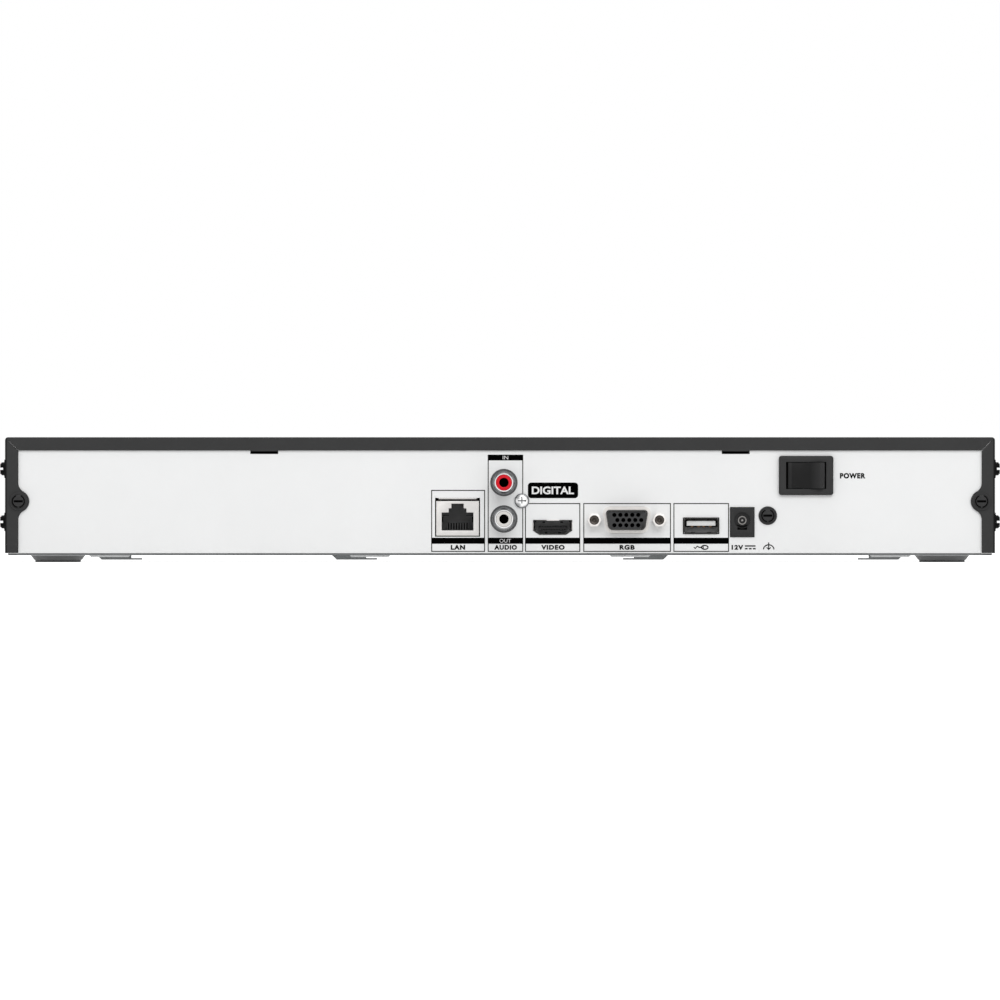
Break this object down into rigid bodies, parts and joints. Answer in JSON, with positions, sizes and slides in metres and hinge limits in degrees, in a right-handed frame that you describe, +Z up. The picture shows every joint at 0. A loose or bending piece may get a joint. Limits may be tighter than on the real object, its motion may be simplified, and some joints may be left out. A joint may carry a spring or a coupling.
{
  "type": "video recorder",
  "caption": "One-unit-high video recorder in a folded black steel cover with a white rear panel of sockets, a rocker power switch and a bowed front with a dark window strip.",
  "frame": {"origin": "centre of the recorder's footprint box, on the surface that it stands on", "axes": "+Z up, -Y out of the front bezel, +Y out of the rear sockets, +X to the right as seen from the front"},
  "size_m": [0.3842, 0.2986, 0.048],
  "materials": {
    "audio_barrels": "nickel plated",
    "audio_block": "black",
    "audio_block_screw": "nickel plated",
    "audio_in_insulator": "red",
    "audio_out_insulator": "white",
    "base_pan": "galvanised sheet, dull",
    "bezel_screws": "zinc plated",
    "board_screws": "zinc plated",
    "board_sockets": "ivory",
    "board_standoffs": "plain",
    "capacitors": "plain can",
    "cell_holder": "black",
    "coin_cell": "plain",
    "cover_screws": "black oxide, satin",
    "drive_boards": "blue-green board",
    "drive_cases": "cast",
    "drive_data_leads": "red jacket",
    "drive_lids": "stamped",
    "drive_plugs": "black",
    "drive_power_leads": "yellow jacket",
    "drive_screws": "zinc plated",
    "dsub_insert": "black",
    "dsub_nuts": "nickel plated",
    "dsub_shell": "nickel plated",
    "fan_frame": "black",
    "fan_impeller": "black",
    "fan_lead": "black",
    "fan_screws": "black zinc",
    "foot_pads": "matt",
    "front_bezel": "fine texture, black",
    "front_looms": "black sleeve",
    "front_usb_board": "green board",
    "front_usb_shell": "nickel plated",
    "front_usb_tongue": "black",
    "front_window": "polished dark acrylic",
    "ground_screw": "black oxide, satin",
    "heat_sink": "black anodised",
    "lamp_board": "green board",
    "lan_contacts": "gold plated",
    "lan_insert": "black",
    "lan_shield": "nickel plated",
    "light_pipes": "clear acrylic",
    "main_board": "green board",
    "memory_chips": "moulded package",
    "panel_rivets": "plain",
    "power_jack_body": "black",
    "power_jack_leaf": "nickel plated",
    "power_jack_pin": "nickel plated",
    "processor": "moulded package",
    "rear_panel": "smooth off-white paint",
    "rear_usb_shell": "nickel plated",
    "rear_usb_tongue": "white",
    "side_spacers": "zinc plated",
    "switch_housing": "black nylon",
    "switch_leads": "red and black",
    "switch_rocker": "black nylon, satin",
    "switch_terminals": "tin plated",
    "top_cover": "fine textured powder coat, black-grey",
    "video_shell": "nickel plated",
    "video_tongue": "black"
  },
  "bodies": {
    "case": {"audio_barrels": "audio_barrels", "audio_block": "audio_block", "audio_block_screw": "audio_block_screw", "audio_in_insulator": "audio_in_insulator", "audio_out_insulator": "audio_out_insulator", "base_pan": "base_pan", "bezel_screws": "bezel_screws", "board_screws": "board_screws", "board_sockets": "board_sockets", "board_standoffs": "board_standoffs", "capacitors": "capacitors", "cell_holder": "cell_holder", "coin_cell": "coin_cell", "cover_screws": "cover_screws", "drive_boards": "drive_boards", "drive_cases": "drive_cases", "drive_data_leads": "drive_data_leads", "drive_lids": "drive_lids", "drive_plugs": "drive_plugs", "drive_power_leads": "drive_power_leads", "drive_screws": "drive_screws", "dsub_insert": "dsub_insert", "dsub_nuts": "dsub_nuts", "dsub_shell": "dsub_shell", "fan_frame": "fan_frame", "fan_lead": "fan_lead", "fan_screws": "fan_screws", "foot_pads": "foot_pads", "front_bezel": "front_bezel", "front_looms": "front_looms", "front_usb_board": "front_usb_board", "front_usb_shell": "front_usb_shell", "front_usb_tongue": "front_usb_tongue", "front_window": "front_window", "ground_screw": "ground_screw", "heat_sink": "heat_sink", "lamp_board": "lamp_board", "lan_contacts": "lan_contacts", "lan_insert": "lan_insert", "lan_shield": "lan_shield", "light_pipes": "light_pipes", "main_board": "main_board", "memory_chips": "memory_chips", "panel_rivets": "panel_rivets", "power_jack_body": "power_jack_body", "power_jack_leaf": "power_jack_leaf", "power_jack_pin": "power_jack_pin", "processor": "processor", "rear_panel": "rear_panel", "rear_usb_shell": "rear_usb_shell", "rear_usb_tongue": "rear_usb_tongue", "side_spacers": "side_spacers", "switch_housing": "switch_housing", "switch_leads": "switch_leads", "switch_terminals": "switch_terminals", "top_cover": "top_cover", "video_shell": "video_shell", "video_tongue": "video_tongue"},
    "rocker": {"switch_rocker": "switch_rocker"},
    "impeller": {"fan_impeller": "fan_impeller"}
  },
  "joints": [
    {"name": "rocker_pivot", "type": "hinge", "parent": "case", "child": "rocker", "pos_m": [-0.1175, 0.13985, 0.0333], "axis": [0, 0, 1], "range_deg": [-22, 0]},
    {"name": "fan_spin", "type": "hinge", "parent": "case", "child": "impeller", "pos_m": [0.1789, 0.06275, 0.024], "axis": [1, 0, 0], "continuous": true}
  ]
}
